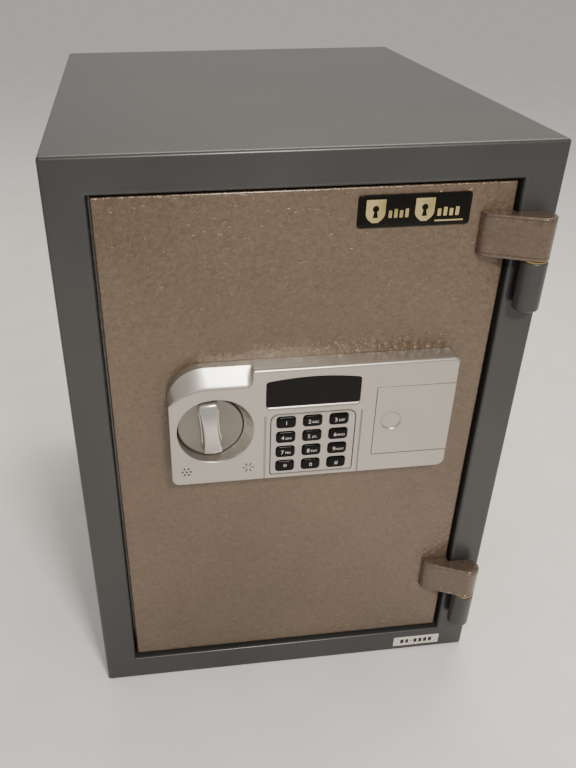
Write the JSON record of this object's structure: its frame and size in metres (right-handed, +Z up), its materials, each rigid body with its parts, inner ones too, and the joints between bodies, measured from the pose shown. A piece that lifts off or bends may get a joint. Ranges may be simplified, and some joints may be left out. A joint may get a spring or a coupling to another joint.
{
  "type": "gun safe",
  "caption": "Small fire-resistant gun safe: hinged insulated door with an electronic keypad lock, turning knob, sliding locking bolts and one inner shelf.",
  "frame": {"origin": "centre of the flat base, midway across the body and midway between the front frame and the back panel", "axes": "+Z up, -Y out of the door, +X towards the hinges"},
  "size_m": [0.36, 0.4702, 0.5],
  "materials": {
    "body_paint": "semi-gloss textured enamel, charcoal grey",
    "door_paint": "semi-gloss hammered enamel, taupe",
    "fire_filling": "cast mineral filling, matt",
    "liner_paint": "satin powder coat",
    "zinc_steel": "zinc plated",
    "bright_steel": "ground and nickel plated",
    "seal_strip": "matt intumescent strip",
    "felt": "needle felt",
    "brass": "turned",
    "label_film": "printed film",
    "badge_enamel": "domed lacquer",
    "silver_abs": "silver painted ABS",
    "dark_abs": "moulded, fine texture",
    "key_black": "polished",
    "window_black": "polished",
    "silicone": "moulded silicone",
    "circuit_board": "solder resist",
    "display_glass": "display module",
    "cell_jacket": "printed sleeve",
    "cable_jacket": "PVC",
    "coil_case": "blue chromate"
  },
  "bodies": {
    "safe_body": {"outer_casing": "body_paint", "back_panel": "body_paint", "wall_insulation": "fire_filling", "inner_liner": "liner_paint", "door_jamb": "zinc_steel", "fire_seal": "seal_strip", "bolt_keepers": "zinc_steel", "shelf": "liner_paint", "shelf_pegs": "bright_steel", "floor_mat": "felt", "hinge_barrels": "body_paint", "hinge_pins": "bright_steel", "hinge_washers": "brass", "frame_label": "label_film"},
    "door": {"door_skin": "door_paint", "door_insulation": "fire_filling", "door_tray": "zinc_steel", "inner_cover": "dark_abs", "cover_insulation": "fire_filling", "cover_screws": "bright_steel", "hinge_straps": "door_paint", "hinge_bolts": "zinc_steel", "badge": "badge_enamel", "lock_housing": "silver_abs", "housing_screws": "bright_steel", "keypad_surround": "silver_abs", "display_window": "window_black", "display_module": "display_glass", "keypad_board": "circuit_board", "key_mat": "silicone", "sounder": "brass", "battery_box": "dark_abs", "batteries": "cell_jacket", "battery_contacts": "bright_steel", "lock_cable": "cable_jacket", "cable_grommet": "seal_strip", "knob_bearing": "brass", "lock_plate": "zinc_steel", "bolt_guides": "zinc_steel", "solenoid": "coil_case", "dog_bolts": "bright_steel"},
    "knob": {"knob": "silver_abs", "knob_spindle": "bright_steel", "drive_cam": "zinc_steel"},
    "bolts": {"bolt_bar": "zinc_steel", "locking_bolts": "bright_steel"},
    "blocking_pin": {"blocking_pin": "bright_steel"},
    "battery_cover": {"battery_cover": "silver_abs"},
    "key_1": {"key_1": "key_black"},
    "key_2": {"key_2": "key_black"},
    "key_3": {"key_3": "key_black"},
    "key_4": {"key_4": "key_black"},
    "key_5": {"key_5": "key_black"},
    "key_6": {"key_6": "key_black"},
    "key_7": {"key_7": "key_black"},
    "key_8": {"key_8": "key_black"},
    "key_9": {"key_9": "key_black"},
    "key_star": {"key_star": "key_black"},
    "key_0": {"key_0": "key_black"},
    "key_hash": {"key_hash": "key_black"}
  },
  "joints": [
    {"name": "door_swing", "type": "hinge", "parent": "safe_body", "child": "door", "pos_m": [0.1652, -0.2354, 0.25], "axis": [0, 0, 1], "range_deg": [0, 170]},
    {"name": "bolt_throw", "type": "slide", "parent": "door", "child": "bolts", "axis": [-1, 0, 0], "range_m": [0, 0.022]},
    {"name": "knob_turn", "type": "hinge", "parent": "door", "child": "knob", "pos_m": [-0.0735, -0.23, 0.2912], "axis": [0, 1, 0], "range_deg": [-90, 0]},
    {"name": "blocking_pin_slide", "type": "slide", "parent": "door", "child": "blocking_pin", "axis": [-1, 0, 0], "range_m": [0, 0.006]},
    {"name": "battery_cover_slide", "type": "slide", "parent": "door", "child": "battery_cover", "axis": [1, 0, 0], "range_m": [0, 0.012]},
    {"name": "key_1_press", "type": "slide", "parent": "door", "child": "key_1", "axis": [0, 1, 0], "range_m": [0, 0.0012], "stiffness_N_per_m": 800},
    {"name": "key_2_press", "type": "slide", "parent": "door", "child": "key_2", "axis": [0, 1, 0], "range_m": [0, 0.0012], "stiffness_N_per_m": 800},
    {"name": "key_3_press", "type": "slide", "parent": "door", "child": "key_3", "axis": [0, 1, 0], "range_m": [0, 0.0012], "stiffness_N_per_m": 800},
    {"name": "key_4_press", "type": "slide", "parent": "door", "child": "key_4", "axis": [0, 1, 0], "range_m": [0, 0.0012], "stiffness_N_per_m": 800},
    {"name": "key_5_press", "type": "slide", "parent": "door", "child": "key_5", "axis": [0, 1, 0], "range_m": [0, 0.0012], "stiffness_N_per_m": 800},
    {"name": "key_6_press", "type": "slide", "parent": "door", "child": "key_6", "axis": [0, 1, 0], "range_m": [0, 0.0012], "stiffness_N_per_m": 800},
    {"name": "key_7_press", "type": "slide", "parent": "door", "child": "key_7", "axis": [0, 1, 0], "range_m": [0, 0.0012], "stiffness_N_per_m": 800},
    {"name": "key_8_press", "type": "slide", "parent": "door", "child": "key_8", "axis": [0, 1, 0], "range_m": [0, 0.0012], "stiffness_N_per_m": 800},
    {"name": "key_9_press", "type": "slide", "parent": "door", "child": "key_9", "axis": [0, 1, 0], "range_m": [0, 0.0012], "stiffness_N_per_m": 800},
    {"name": "key_star_press", "type": "slide", "parent": "door", "child": "key_star", "axis": [0, 1, 0], "range_m": [0, 0.0012], "stiffness_N_per_m": 800},
    {"name": "key_0_press", "type": "slide", "parent": "door", "child": "key_0", "axis": [0, 1, 0], "range_m": [0, 0.0012], "stiffness_N_per_m": 800},
    {"name": "key_hash_press", "type": "slide", "parent": "door", "child": "key_hash", "axis": [0, 1, 0], "range_m": [0, 0.0012], "stiffness_N_per_m": 800}
  ],
  "couplings": [
    {"joint": "knob_turn", "follows": "bolt_throw", "rad_per_m": -71.39}
  ]
}
